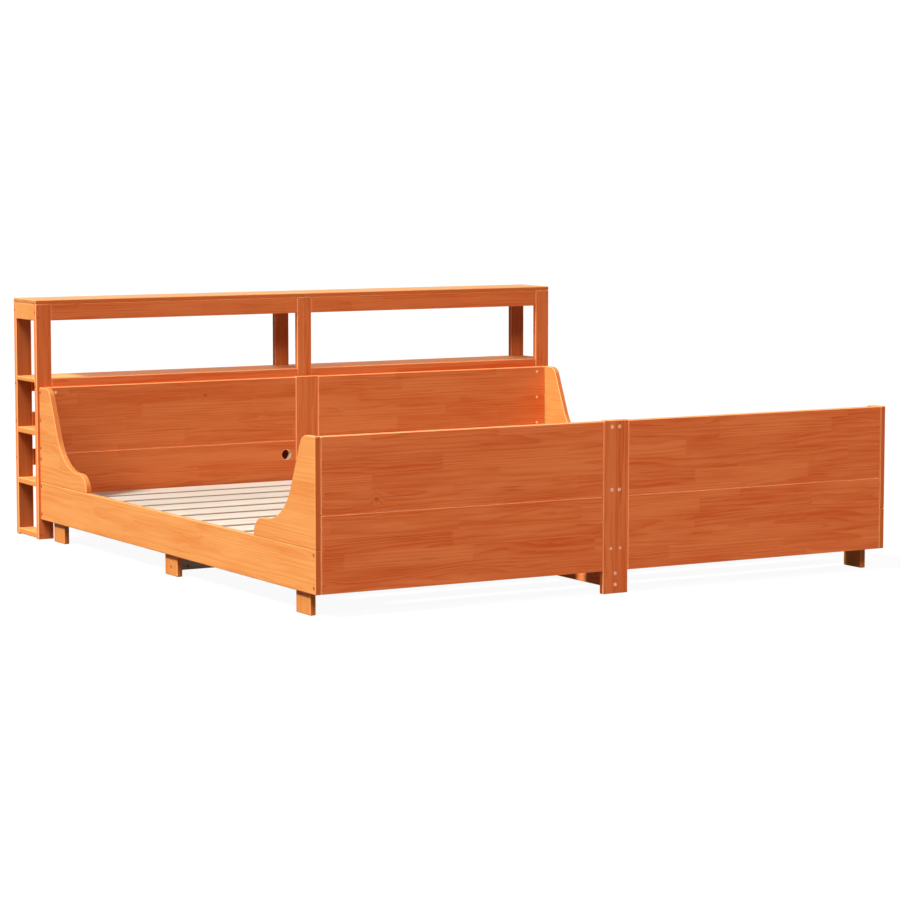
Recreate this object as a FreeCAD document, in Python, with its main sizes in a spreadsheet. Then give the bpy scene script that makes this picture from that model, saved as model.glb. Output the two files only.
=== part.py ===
import FreeCAD, Part
import Sketcher
import math
import os
import re

# A stained pine bed for a square two-person mattress. Two side panels with curved wings carry a
# low headboard and footboard, each of four boards and a centre post. Slats lie on ledgers and a
# centre bearer, and an open bookcase stands against the head end.
# Millimetres, +Z up. The origin is on the floor under the middle of the whole bed, the footboard
# faces -Y and the bookcase is at +Y.

SIZES = {
    # bed frame
    "bed_width": 2055,
    "bed_length": 2055,
    "panel_thickness": 19,
    "panel_board_height": 229,
    "floor_gap": 70,
    "side_rail_height": 130,
    "centre_post_width": 90,
    "centre_post_rise": 2,
    "edge_radius": 3,
    # curved wings on the side rails
    "wing_length": 400,
    "wing_toe_radius": 60,
    "wing_toe_flat": 20,
    "wing_hollow_radius": 180,
    "wing_slope": 66,
    "wing_shoulder_radius": 40,
    # feet, stretchers and slats
    "foot_width": 90,
    "foot_thickness": 19,
    "foot_inset": 70,
    "stretcher_height": 57,
    "stretcher_thickness": 20,
    "stretcher_floor_gap": 16,
    "centre_leg_offset": 350,
    "slat_recess": 42,
    "slat_thickness": 9,
    "slat_width": 113,
    "slat_count": 13,
    "slat_end_gap": 22,
    "slat_side_gap": 3,
    "slat_centre_gap": 8,
    "bearer_width": 57,
    "bearer_thickness": 20,
    "ledger_thickness": 20,
    "ledger_height": 35,
    "cable_hole_diameter": 37,
    "cable_hole_offset": 85,
    "cable_hole_drop": 50,
    # bookcase
    "bookcase_overhang": 9.5,
    "bookcase_depth": 200,
    "bookcase_height": 828,
    "top_board_thickness": 14,
    "post_width": 57,
    "post_thickness": 20,
    "case_rail_height": 57,
    "cross_rail_thickness": 20,
    "window_shelf_top": 557,
    "window_shelf_thickness": 14,
    "shelf_pitch": 178,
    "shelf_thickness": 19,
    "guard_rail_pitch": 130,
    # fasteners
    "hole_clearance": 0.2,
    "bolt_diameter": 6,
    "bolt_head_diameter": 12,
    "bolt_head_height": 4,
    "bolt_head_sink": 0.5,
    "bolt_pitch": 96,
    "bolt_tip": 4,
    "nut_diameter": 10,
    "nut_length": 14,
    "nut_setback": 34,
    "cam_diameter": 12,
    "cam_length": 13,
    "cam_setback": 32,
    "cam_rod_grip": 35,
    "screw_diameter": 4,
    "screw_head_diameter": 8.5,
    "screw_head_height": 3,
    "screw_pitch": 34,
    "screw_grip": 14,
    "long_screw_grip": 40,
    "dowel_diameter": 8,
    "dowel_grip": 20,
    "edge_dowel_diameter": 6,
    "edge_dowel_grip": 12,
    "wing_dowel_grip": 12,
    "wing_dowel_pitch": 145,
}

doc = FreeCAD.newDocument("Bed")
sheet = doc.addObject("Spreadsheet::Sheet", "Sizes")
for row, (alias, value) in enumerate(SIZES.items(), 1):
    sheet.set(f"A{row}", alias)
    sheet.set(f"B{row}", str(value))
    sheet.setAlias(f"B{row}", alias)
doc.recompute()

# Places that several pieces share, as formulas on the sheet.
FRONT = "(0 - bed_length / 2 - bookcase_depth / 2)"
HEAD = "(bed_length / 2 - bookcase_depth / 2)"
BACK = "(bed_length / 2 + bookcase_depth / 2)"
MIDDLE = "(0 - bookcase_depth / 2)"
OUTER = "(bed_width / 2)"
INNER = "(bed_width / 2 - panel_thickness)"
INNER_LENGTH = "(bed_length - 2 * panel_thickness)"
RAIL_TOP = "(floor_gap + side_rail_height)"
WING_HEIGHT = "(2 * panel_board_height - side_rail_height)"
PANEL_TOP = "(floor_gap + 2 * panel_board_height)"
HALF_POST = "(centre_post_width / 2)"
SLAT_BOTTOM = "(floor_gap + side_rail_height - slat_recess - slat_thickness)"
LEDGER_BOTTOM = f"({SLAT_BOTTOM} - ledger_height)"
BEARER_BOTTOM = f"({SLAT_BOTTOM} - bearer_thickness)"
STRETCHER_MID = "(stretcher_floor_gap + stretcher_height / 2)"
CASE_END = "(bed_width / 2 + bookcase_overhang)"
CASE_TOP = "(bookcase_height - top_board_thickness)"
CASE_INSIDE = "(bookcase_depth - 2 * post_thickness)"
TOP_RAIL = f"({CASE_TOP} - case_rail_height)"
SHELF_RAIL = "(window_shelf_top - case_rail_height)"

SIDES = {"left": "-", "right": "+"}
INWARD = {"left": "+x", "right": "-x"}
OUTWARD = {"left": "-x", "right": "+x"}
PLUS_AND_MINUS = ("-", "+")

X_AXIS = FreeCAD.Vector(1, 0, 0)
Y_AXIS = FreeCAD.Vector(0, 1, 0)
Z_AXIS = FreeCAD.Vector(0, 0, 1)
TURNS = {
    "+x": FreeCAD.Rotation(Y_AXIS, 90),
    "-x": FreeCAD.Rotation(Y_AXIS, -90),
    "+y": FreeCAD.Rotation(X_AXIS, -90),
    "-y": FreeCAD.Rotation(X_AXIS, 90),
    "+z": FreeCAD.Rotation(),
}

blanks = {}
cutters = {}
groups = {}


def formula(text):
    """The text with every size's name pointing at its cell."""
    return re.sub(r"[a-z][a-z_]*", r"Sizes.\g<0>", text)


def bind(thing, **properties):
    """Ties properties of a document object to formulas."""
    for name, text in properties.items():
        thing.setExpression(name, formula(text))


def put(thing, point, turn=FreeCAD.Rotation()):
    """Turns an object and ties its place to three formulas."""
    thing.Placement = FreeCAD.Placement(FreeCAD.Vector(), turn)
    for letter, text in zip("xyz", point):
        thing.setExpression(f"Placement.Base.{letter}", formula(text))


def block(name, point, size):
    """A plain block from its lowest corner and its three sizes."""
    box = doc.addObject("Part::Box", name)
    bind(box, Length=size[0], Width=size[1], Height=size[2])
    put(box, point)
    return box


def rounded(name, point, size):
    """A board with every arris rounded over."""
    box = block(name + "_blank", point, size)
    soft = doc.addObject("Part::Fillet", name + "_rounded")
    soft.Base = box
    radius = sheet.get("edge_radius")
    soft.Edges = [(edge, radius, radius) for edge in range(1, 13)]
    return soft


def board(name, point, size):
    """A rounded board that is a sub-part of its own."""
    blanks[name] = [rounded(name, point, size)]
    cutters[name] = []


def board_group(name, places):
    """Like boards that share one node, from (point, size) pairs."""
    blanks[name] = [rounded(f"{name}_{number}", *place) for number, place in enumerate(places)]
    cutters[name] = []


def low(side, outer, thickness):
    """Lowest X of a piece whose outer face is that far from the middle."""
    return f"0 - ({outer})" if side == "left" else f"({outer}) - ({thickness})"


def along(point, axis, distance):
    """The point moved along an axis by a formula."""
    index = "xyz".index(axis[1])
    moved = list(point)
    moved[index] = f"({point[index]}) {axis[0]} ({distance})"
    return tuple(moved)


def bar(name, axis, point, diameter, length):
    """A round bar from a point along an axis."""
    cylinder = doc.addObject("Part::Cylinder", name)
    bind(cylinder, Radius=f"({diameter}) / 2", Height=length)
    put(cylinder, point, TURNS[axis])
    return cylinder


def hole(axis, point, diameter, length, through):
    """Drills the named boards, a clearance wider and deeper than what goes in."""
    tool = bar("Hole", axis, point, f"{diameter} + 2 * hole_clearance", f"{length} + hole_clearance")
    for name in through:
        cutters[name].append(tool)
    return tool


def fuse(name, shapes):
    """Joins the bodies of one fastener."""
    joined = doc.addObject("Part::MultiFuse", name)
    joined.Shapes = shapes
    return joined


def cut(name, base, tools):
    """Takes a list of tools away from a base."""
    tool = doc.addObject("Part::Compound", name + "_holes")
    tool.Links = tools
    result = doc.addObject("Part::Cut", name)
    result.Base = base
    result.Tool = tool
    return result


def bolt(group, axis, face, length, through):
    """A flat-headed bolt sunk just below a face. Returns the hole of its shank."""
    seat = along(face, axis, "bolt_head_sink")
    head = bar("BoltHead", axis, seat, "bolt_head_diameter", "bolt_head_height")
    shank = bar("BoltShank", axis, seat, "bolt_diameter", length)
    groups.setdefault(group, []).append(fuse("Bolt", [head, shank]))
    hole(axis, face, "bolt_head_diameter", "bolt_head_sink + bolt_head_height", through)
    return hole(axis, face, "bolt_diameter", f"bolt_head_sink + {length}", through)


def barrel_nut(axis, face, cross_hole, name):
    """A round nut let into a board's face, crossed by its bolt's hole."""
    body = bar("NutBlank", axis, face, "nut_diameter", "nut_length")
    groups.setdefault("barrel_nuts", []).append(cut("Nut", body, [cross_hole]))
    hole(axis, face, "nut_diameter", "nut_length", [name])


def cam(axis, face, rod_axis, reach, post, panel):
    """A cam disc in the post's face and the rod that it draws out of a panel's end."""
    middle = along(face, axis, "panel_thickness / 2")
    rod = bar("CamRod", rod_axis, middle, "bolt_diameter", reach)
    rod_hole = hole(rod_axis, middle, "bolt_diameter", reach, [post, panel])
    disc = bar("CamBlank", axis, face, "cam_diameter", "cam_length")
    hole(axis, face, "cam_diameter", "cam_length", [post])
    groups.setdefault("cam_fittings", []).extend([rod, cut("Cam", disc, [rod_hole])])


def screw(group, axis, face, length, through):
    """A countersunk wood screw, its head flush with a face."""
    shank = bar("ScrewShank", axis, face, "screw_diameter", length)
    head = doc.addObject("Part::Cone", "ScrewHead")
    bind(head, Radius1="screw_head_diameter / 2", Radius2="screw_diameter / 2", Height="screw_head_height")
    put(head, face, TURNS[axis])
    groups.setdefault(group, []).append(fuse("Screw", [shank, head]))
    sink = doc.addObject("Part::Cone", "Countersink")
    bind(
        sink,
        Radius1="screw_head_diameter / 2 + hole_clearance",
        Radius2="screw_diameter / 2 + hole_clearance",
        Height="screw_head_height",
    )
    put(sink, face, TURNS[axis])
    for name in through:
        cutters[name].append(sink)
    hole(axis, face, "screw_diameter", length, through)


def dowel(axis, point, diameter, length, through):
    """A wooden dowel glued across a joint."""
    start = along(point, axis, "hole_clearance")
    pin = bar("Dowel", axis, start, diameter, f"{length} - hole_clearance")
    groups.setdefault("wooden_dowels", []).append(pin)
    hole(axis, point, diameter, length, through)


def wing_outline(sketch):
    """Draws a wing from the bed's end at zero: toe quarter round, flat, hollow, slope, shoulder."""
    length = sheet.get("wing_length")
    toe = sheet.get("wing_toe_radius")
    flat = sheet.get("wing_toe_flat")
    hollow = sheet.get("wing_hollow_radius")
    shoulder = sheet.get("wing_shoulder_radius")
    slope = math.radians(sheet.get("wing_slope"))
    height = 2 * sheet.get("panel_board_height") - sheet.get("side_rail_height")
    hollow_x = length - toe - flat
    slope_x = hollow_x - hollow * math.sin(slope)
    slope_y = toe + hollow * (1 - math.cos(slope))
    rise = height - shoulder * (1 - math.cos(slope)) - slope_y
    top_x = slope_x - rise / math.tan(slope)
    shoulder_x = top_x - shoulder * math.sin(slope)

    def point(across, up):
        return FreeCAD.Vector(across, up, 0)

    def arc(centre, radius, start, end):
        circle = Part.Circle(centre, Z_AXIS, radius)
        return Part.ArcOfCircle(circle, start, end)

    right = math.pi / 2
    sketch.addGeometry([
        Part.LineSegment(point(0, 0), point(length, 0)),
        arc(point(length - toe, 0), toe, 0, right),
        Part.LineSegment(point(length - toe, toe), point(hollow_x, toe)),
        arc(point(hollow_x, toe + hollow), hollow, 3 * right - slope, 3 * right),
        Part.LineSegment(point(slope_x, slope_y), point(top_x, slope_y + rise)),
        arc(point(shoulder_x, height - shoulder), shoulder, right - slope, right),
        Part.LineSegment(point(shoulder_x, height), point(0, height)),
        Part.LineSegment(point(0, height), point(0, 0)),
    ], False)
    foot, toe_arc, toe_line, hollow_arc, slope_line, shoulder_arc, top, end = range(8)
    start, finish, centre = 1, 2, 3
    rules = [
        ("Coincident", foot, start, -1, 1),
        ("Horizontal", foot),
        ("Coincident", foot, finish, toe_arc, start),
        ("PointOnObject", toe_arc, centre, -1),
        ("Tangent", toe_arc, finish, toe_line, start),
        ("Horizontal", toe_line),
        ("Tangent", toe_line, finish, hollow_arc, finish),
        ("Tangent", hollow_arc, start, slope_line, start),
        ("Tangent", slope_line, finish, shoulder_arc, start),
        ("Tangent", shoulder_arc, finish, top, start),
        ("Horizontal", top),
        ("Coincident", top, finish, end, start),
        ("Vertical", end),
        ("Coincident", end, finish, foot, start),
    ]
    sketch.addConstraint([Sketcher.Constraint(*rule) for rule in rules])
    sizes = {
        "length": (("DistanceX", foot, start, foot, finish, length), "wing_length"),
        "toe": (("Radius", toe_arc, toe), "wing_toe_radius"),
        "flat": (("DistanceX", toe_line, finish, toe_line, start, flat), "wing_toe_flat"),
        "hollow": (("Radius", hollow_arc, hollow), "wing_hollow_radius"),
        "slope": (("Angle", slope_line, math.pi - slope), "180 - wing_slope"),
        "shoulder": (("Radius", shoulder_arc, shoulder), "wing_shoulder_radius"),
        "height": (("DistanceY", end, finish, end, start, height), WING_HEIGHT),
    }
    for name, (rule, text) in sizes.items():
        index = sketch.addConstraint(Sketcher.Constraint(*rule))
        sketch.renameConstraint(index, name)
        sketch.setExpression(f"Constraints.{name}", formula(text))


def wing(name, point, turned):
    """A curved wing, padded from its outline; a turned one serves the other end of the bed."""
    body = doc.addObject("PartDesign::Body", name + "_wing")
    sketch = body.newObject("Sketcher::SketchObject", name + "_outline")
    plane = [face for face in body.Origin.OriginFeatures if face.Role == "YZ_Plane"][0]
    sketch.AttachmentSupport = [(plane, "")]
    sketch.MapMode = "FlatFace"
    wing_outline(sketch)
    pad = body.newObject("PartDesign::Pad", name + "_pad")
    pad.Profile = sketch
    bind(pad, Length="panel_thickness")
    doc.recompute()
    arris = body.newObject("PartDesign::Fillet", name + "_arris")
    arris.Base = (pad, [""])
    arris.UseAllEdges = True
    bind(arris, Radius="edge_radius")
    body.Tip = arris
    put(body, point, FreeCAD.Rotation(Z_AXIS, 180 if turned else 0))
    blanks[name] = [body]
    cutters[name] = []


# Side panels: a full-length rail each, with a curved wing standing on it at either end.
for side in SIDES:
    rail_x = low(side, OUTER, "panel_thickness")
    board(
        f"side_rail_{side}",
        (rail_x, FRONT, "floor_gap"),
        ("panel_thickness", "bed_length", "side_rail_height"),
    )
    wing(f"foot_wing_{side}", (rail_x, FRONT, RAIL_TOP), turned=False)
    wing(f"head_wing_{side}", (f"{rail_x} + panel_thickness", HEAD, RAIL_TOP), turned=True)

# Footboard and headboard: two boards on each side of a centre post that stands on the floor.
PANELS = {"footboard": (FRONT, "+y"), "headboard": (f"({HEAD} - panel_thickness)", "-y")}
LEVELS = {"lower": "floor_gap", "upper": "(floor_gap + panel_board_height)"}
HALF_PANEL = f"({INNER} - {HALF_POST})"
for panel, (panel_y, facing) in PANELS.items():
    for level, level_z in LEVELS.items():
        for side in SIDES:
            board(
                f"{panel}_{level}_board_{side}",
                (low(side, INNER, HALF_PANEL), panel_y, level_z),
                (HALF_PANEL, "panel_thickness", "panel_board_height"),
            )
    board(
        f"{panel}_post",
        (f"0 - {HALF_POST}", panel_y, "0"),
        ("centre_post_width", "panel_thickness", f"{PANEL_TOP} + centre_post_rise"),
    )

# Feet stand inside the side rails and reach up to the ledgers that carry the slats' outer ends.
FEET = {
    "front": f"({FRONT} + foot_inset)",
    "middle": f"({MIDDLE} - foot_width / 2)",
    "rear": f"({HEAD} - foot_inset - foot_width)",
}
for side in SIDES:
    for place, foot_y in FEET.items():
        board(
            f"foot_{place}_{side}",
            (low(side, INNER, "foot_thickness"), foot_y, "0"),
            ("foot_thickness", "foot_width", LEDGER_BOTTOM),
        )
    board(
        f"slat_ledger_{side}",
        (low(side, INNER, "ledger_thickness"), f"{FRONT} + panel_thickness", LEDGER_BOTTOM),
        ("ledger_thickness", INNER_LENGTH, "ledger_height"),
    )

# Stretchers near the floor cross in a halved joint; a flat bearer over them carries the slats.
CROSS_LENGTH = f"(2 * ({INNER} - foot_thickness))"
board(
    "centre_stretcher",
    ("0 - stretcher_thickness / 2", f"{FRONT} + panel_thickness", "stretcher_floor_gap"),
    ("stretcher_thickness", INNER_LENGTH, "stretcher_height"),
)
board(
    "cross_stretcher",
    (f"0 - {CROSS_LENGTH} / 2", f"{MIDDLE} - stretcher_thickness / 2", "stretcher_floor_gap"),
    (CROSS_LENGTH, "stretcher_thickness", "stretcher_height"),
)
NOTCH = "(stretcher_thickness + 2 * hole_clearance)"
notch_corner = (f"0 - {NOTCH} / 2", f"{MIDDLE} - {NOTCH} / 2")
cutters["centre_stretcher"].append(
    block("LowerNotch", (*notch_corner, "0"), (NOTCH, NOTCH, f"{STRETCHER_MID} + hole_clearance"))
)
cutters["cross_stretcher"].append(
    block("UpperNotch", (*notch_corner, STRETCHER_MID), (NOTCH, NOTCH, "stretcher_height"))
)
board(
    "slat_bearer",
    ("0 - bearer_width / 2", f"{FRONT} + panel_thickness", BEARER_BOTTOM),
    ("bearer_width", INNER_LENGTH, "bearer_thickness"),
)
LEG_PLACES = [f"({MIDDLE} {sign} centre_leg_offset)" for sign in PLUS_AND_MINUS]
board_group("centre_legs", [
    (
        ("stretcher_thickness / 2", f"{leg_y} - foot_width / 2", "0"),
        ("foot_thickness", "foot_width", BEARER_BOTTOM),
    )
    for leg_y in LEG_PLACES
])

# Slats: a row of thin boards on each half of the bed, evenly spread between the end panels.
SLAT_STEP = f"(({INNER_LENGTH} - 2 * slat_end_gap - slat_width) / (slat_count - 1))"
SLAT_LENGTH = f"({INNER} - slat_side_gap - slat_centre_gap / 2)"
for side in SIDES:
    board_group(f"slats_{side}", [
        (
            (
                low(side, f"{INNER} - slat_side_gap", SLAT_LENGTH),
                f"{FRONT} + panel_thickness + slat_end_gap + {number} * {SLAT_STEP}",
                SLAT_BOTTOM,
            ),
            (SLAT_LENGTH, "slat_width", "slat_thickness"),
        )
        for number in range(int(sheet.get("slat_count")))
    ])

# Bookcase posts: three in front against the headboard and three behind, all to the floor.
POST_X = {
    "left": f"0 - {CASE_END}",
    "centre": "0 - post_width / 2",
    "right": f"{CASE_END} - post_width",
}
POST_Y = {"front": HEAD, "back": f"({BACK} - post_thickness)"}
for row, post_y in POST_Y.items():
    for place, post_x in POST_X.items():
        board(
            f"bookcase_{row}_post_{place}",
            (post_x, post_y, "0"),
            ("post_width", "post_thickness", CASE_TOP),
        )

# Bookcase rails run from the end posts to the centre posts, on edge.
CASE_RAILS = {
    "front_top_rail": ("front", TOP_RAIL),
    "front_shelf_rail": ("front", SHELF_RAIL),
    "back_top_rail": ("back", TOP_RAIL),
    "back_shelf_rail": ("back", SHELF_RAIL),
}
GUARD_RAILS = [f"({SHELF_RAIL} - {number} * guard_rail_pitch)" for number in (1, 2)]
RAIL_OUTER = f"({CASE_END} - post_width)"
RAIL_LENGTH = f"({RAIL_OUTER} - post_width / 2)"
RAIL_SIZE = (RAIL_LENGTH, "post_thickness", "case_rail_height")
for name, (row, rail_z) in CASE_RAILS.items():
    for side in SIDES:
        board(f"{name}_{side}", (low(side, RAIL_OUTER, RAIL_LENGTH), POST_Y[row], rail_z), RAIL_SIZE)
board_group("back_guard_rails", [
    ((low(side, RAIL_OUTER, RAIL_LENGTH), POST_Y["back"], rail_z), RAIL_SIZE)
    for side in SIDES
    for rail_z in GUARD_RAILS
])

# Cross rails tie the front posts to the back posts under the top boards.
CROSS_RAIL_X = {
    "left": f"(0 - {CASE_END} + cross_rail_thickness / 2)",
    "centre": "0",
    "right": f"({CASE_END} - cross_rail_thickness / 2)",
}
for place, middle_x in CROSS_RAIL_X.items():
    board(
        f"top_cross_rail_{place}",
        (f"{middle_x} - cross_rail_thickness / 2", f"{HEAD} + post_thickness", TOP_RAIL),
        ("cross_rail_thickness", CASE_INSIDE, "case_rail_height"),
    )

# Top boards and shelves come in two halves that meet over the centre posts' line. Of the lower
# shelves two run the whole way; near the floor short boards only tie the posts together.
SHELF_TOPS = [f"(window_shelf_top - {number} * shelf_pitch)" for number in (1, 2, 3)]
for side in SIDES:
    half_x = low(side, CASE_END, CASE_END)
    board(
        f"bookcase_top_board_{side}",
        (half_x, HEAD, CASE_TOP),
        (CASE_END, "bookcase_depth", "top_board_thickness"),
    )
    board(
        f"window_shelf_{side}",
        (half_x, f"{HEAD} + post_thickness", "window_shelf_top - window_shelf_thickness"),
        (CASE_END, CASE_INSIDE, "window_shelf_thickness"),
    )
    *shelf_tops, tie_top = SHELF_TOPS
    lower = [(top, half_x, CASE_END) for top in shelf_tops]
    lower.append((tie_top, POST_X[side], "post_width"))
    lower.append((tie_top, low(side, "post_width / 2", "post_width / 2"), "post_width / 2"))
    board_group(f"lower_shelves_{side}", [
        (
            (shelf_x, f"{HEAD} + post_thickness", f"{top} - shelf_thickness"),
            (length, CASE_INSIDE, "shelf_thickness"),
        )
        for top, shelf_x, length in lower
    ])

# Bolts through the side panels into barrel nuts: three to each headboard board, and two through
# the rail at the foot end, where dowels hold the wing.
BOARD_MIDDLE = {level: f"({level_z} + panel_board_height / 2)" for level, level_z in LEVELS.items()}
SIDE_BOLTS = [
    ("headboard", "lower", "- bolt_pitch", "side_rail"),
    ("headboard", "lower", "", "side_rail"),
    ("headboard", "lower", "+ bolt_pitch", "head_wing"),
    ("headboard", "upper", "- bolt_pitch", "head_wing"),
    ("headboard", "upper", "", "head_wing"),
    ("headboard", "upper", "+ bolt_pitch", "head_wing"),
    ("footboard", "lower", "- bolt_pitch", "side_rail"),
    ("footboard", "lower", "", "side_rail"),
]
NUT_BOLT_REACH = "nut_setback + nut_diameter / 2 + bolt_tip"
for side, sign in SIDES.items():
    for panel, level, offset, outer_piece in SIDE_BOLTS:
        panel_y, facing = PANELS[panel]
        bolt_z = f"{BOARD_MIDDLE[level]} {offset}"
        name = f"{panel}_{level}_board_{side}"
        shank = bolt(
            "bed_bolts",
            INWARD[side],
            (f"0 {sign} {OUTER}", f"{panel_y} + panel_thickness / 2", bolt_z),
            f"panel_thickness + {NUT_BOLT_REACH}",
            [f"{outer_piece}_{side}", name],
        )
        inner_face = f"{panel_y} + panel_thickness" if panel == "footboard" else panel_y
        nut_axis = "-y" if panel == "footboard" else "+y"
        nut_x = f"0 {sign} ({INNER} - nut_setback)"
        barrel_nut(nut_axis, (nut_x, inner_face, bolt_z), shank, name)

# Centre posts: cam fittings draw in the upper boards, dowels place the lower ones.
OUTER_FACE = {"footboard": FRONT, "headboard": HEAD}
for panel, (panel_y, facing) in PANELS.items():
    post = f"{panel}_post"
    for side, sign in SIDES.items():
        outward = OUTWARD[side]
        cam_x = f"0 {sign} ({HALF_POST} - cam_setback)"
        for offset in PLUS_AND_MINUS:
            cam(
                facing,
                (cam_x, OUTER_FACE[panel], f"{BOARD_MIDDLE['upper']} {offset} bolt_pitch"),
                outward,
                "cam_setback + cam_rod_grip",
                post,
                f"{panel}_upper_board_{side}",
            )
            joint = (
                f"0 {sign} {HALF_POST}",
                f"{panel_y} + panel_thickness / 2",
                f"{BOARD_MIDDLE['lower']} {offset} bolt_pitch / 2",
            )
            dowel(
                outward,
                along(joint, INWARD[side], "dowel_grip"),
                "dowel_diameter",
                "2 * dowel_grip",
                [post, f"{panel}_lower_board_{side}"],
            )
            pair = (
                f"0 {sign} ({HALF_POST} + {HALF_PANEL} / 2) {offset} {HALF_PANEL} / 4",
                f"{panel_y} + panel_thickness / 2",
                f"{LEVELS['upper']} - dowel_grip",
            )
            dowel(
                "+z",
                pair,
                "dowel_diameter",
                "2 * dowel_grip",
                [f"{panel}_lower_board_{side}", f"{panel}_upper_board_{side}"],
            )

# Dowels under the wings, and between the foot wings and the footboard's upper boards.
for side, sign in SIDES.items():
    middle_x = f"0 {sign} ({OUTER} - panel_thickness / 2)"
    for end, end_y, inward in (("foot", FRONT, "+"), ("head", HEAD, "-")):
        for number in (1, 2):
            dowel(
                "+z",
                (middle_x, f"{end_y} {inward} {number} * wing_dowel_pitch", f"{RAIL_TOP} - dowel_grip"),
                "dowel_diameter",
                "2 * dowel_grip",
                [f"side_rail_{side}", f"{end}_wing_{side}"],
            )
    for offset in PLUS_AND_MINUS:
        dowel(
            OUTWARD[side],
            (
                f"0 {sign} ({INNER} - dowel_grip)",
                f"{FRONT} + panel_thickness / 2",
                f"{BOARD_MIDDLE['upper']} {offset} bolt_pitch / 2",
            ),
            "dowel_diameter",
            "dowel_grip + wing_dowel_grip",
            [f"foot_wing_{side}", f"footboard_upper_board_{side}"],
        )

# Bolts and barrel nuts hold the stretchers to the centre posts and the middle feet.
for offset in PLUS_AND_MINUS:
    bolt_z = f"{STRETCHER_MID} {offset} screw_pitch / 2"
    for panel, (panel_y, facing) in PANELS.items():
        shank = bolt(
            "bed_bolts",
            facing,
            ("0", OUTER_FACE[panel], bolt_z),
            f"panel_thickness + {NUT_BOLT_REACH}",
            [f"{panel}_post", "centre_stretcher"],
        )
        nut_y = along(("0", OUTER_FACE[panel], "0"), facing, "panel_thickness + nut_setback")[1]
        barrel_nut("+x", ("0 - stretcher_thickness / 2", nut_y, bolt_z), shank, "centre_stretcher")
    for side, sign in SIDES.items():
        shank = bolt(
            "bed_bolts",
            INWARD[side],
            (f"0 {sign} {INNER}", MIDDLE, bolt_z),
            f"foot_thickness + {NUT_BOLT_REACH}",
            [f"foot_middle_{side}", "cross_stretcher"],
        )
        nut_x = f"0 {sign} ({CROSS_LENGTH} / 2 - nut_setback)"
        barrel_nut("+y", (nut_x, f"{MIDDLE} - stretcher_thickness / 2", bolt_z), shank, "cross_stretcher")

# Wood screws of the bed frame: bearer, centre legs, feet and ledgers.
for offset in PLUS_AND_MINUS:
    for panel, (panel_y, facing) in PANELS.items():
        screw(
            "wood_screws",
            facing,
            (f"0 {offset} screw_pitch / 2", OUTER_FACE[panel], f"{BEARER_BOTTOM} + bearer_thickness / 2"),
            "panel_thickness + long_screw_grip",
            [f"{panel}_post", "slat_bearer"],
        )
    for leg_y in LEG_PLACES:
        screw(
            "wood_screws",
            "-x",
            ("stretcher_thickness / 2 + foot_thickness", leg_y, f"{STRETCHER_MID} {offset} screw_pitch / 2"),
            "foot_thickness + screw_grip",
            ["centre_legs", "centre_stretcher"],
        )
    for side, sign in SIDES.items():
        for place, foot_y in FEET.items():
            screw(
                "wood_screws",
                OUTWARD[side],
                (
                    f"0 {sign} ({INNER} - foot_thickness)",
                    f"{foot_y} + foot_width / 2 {offset} screw_pitch",
                    f"(floor_gap + {LEDGER_BOTTOM}) / 2",
                ),
                "foot_thickness + screw_grip",
                [f"foot_{place}_{side}", f"side_rail_{side}"],
            )
LEDGER_SCREWS = 6
for side, sign in SIDES.items():
    for number in range(LEDGER_SCREWS):
        screw(
            "wood_screws",
            OUTWARD[side],
            (
                f"0 {sign} ({INNER} - ledger_thickness)",
                f"{FRONT} + panel_thickness + {INNER_LENGTH} * {2 * number + 1} / {2 * LEDGER_SCREWS}",
                f"{LEDGER_BOTTOM} + ledger_height / 2",
            ),
            "ledger_thickness + screw_grip",
            [f"slat_ledger_{side}", f"side_rail_{side}"],
        )

# Bookcase rails: bolts through the end posts, dowels through the centre posts.
ALL_RAILS = [(f"{name}_{{}}", row, rail_z) for name, (row, rail_z) in CASE_RAILS.items()]
ALL_RAILS += [("back_guard_rails", "back", rail_z) for rail_z in GUARD_RAILS]
for name, row, rail_z in ALL_RAILS:
    joint_y = f"{POST_Y[row]} + post_thickness / 2"
    joint_z = f"{rail_z} + case_rail_height / 2"
    for side, sign in SIDES.items():
        bolt(
            "bookcase_bolts",
            INWARD[side],
            (f"0 {sign} {CASE_END}", joint_y, joint_z),
            "post_width + long_screw_grip",
            [f"bookcase_{row}_post_{side}", name.format(side)],
        )
    dowel(
        "+x",
        ("0 - post_width / 2 - dowel_grip", joint_y, joint_z),
        "dowel_diameter",
        "post_width + 2 * dowel_grip",
        [f"bookcase_{row}_post_centre", *{name.format(side) for side in SIDES}],
    )

# Bookcase screws go through the posts' faces into the cross rails and the lower shelves.
FACES = {"front": (HEAD, "+y"), "back": (BACK, "-y")}
for row, (face_y, inward) in FACES.items():
    for offset in PLUS_AND_MINUS:
        for place, middle_x in CROSS_RAIL_X.items():
            screw(
                "wood_screws",
                inward,
                (middle_x, face_y, f"{TOP_RAIL} + case_rail_height / 2 {offset} screw_pitch / 2"),
                "post_thickness + long_screw_grip",
                [f"bookcase_{row}_post_{place}", f"top_cross_rail_{place}"],
            )
        for top in SHELF_TOPS:
            for place, post_x in POST_X.items():
                sides = ["left" if offset == "-" else "right"] if place == "centre" else [place]
                screw(
                    "wood_screws",
                    inward,
                    (
                        f"{post_x} + post_width / 2 {offset} screw_pitch / 2",
                        face_y,
                        f"{top} - shelf_thickness / 2",
                    ),
                    "post_thickness + long_screw_grip",
                    [f"bookcase_{row}_post_{place}", *(f"lower_shelves_{side}" for side in sides)],
                )

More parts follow.
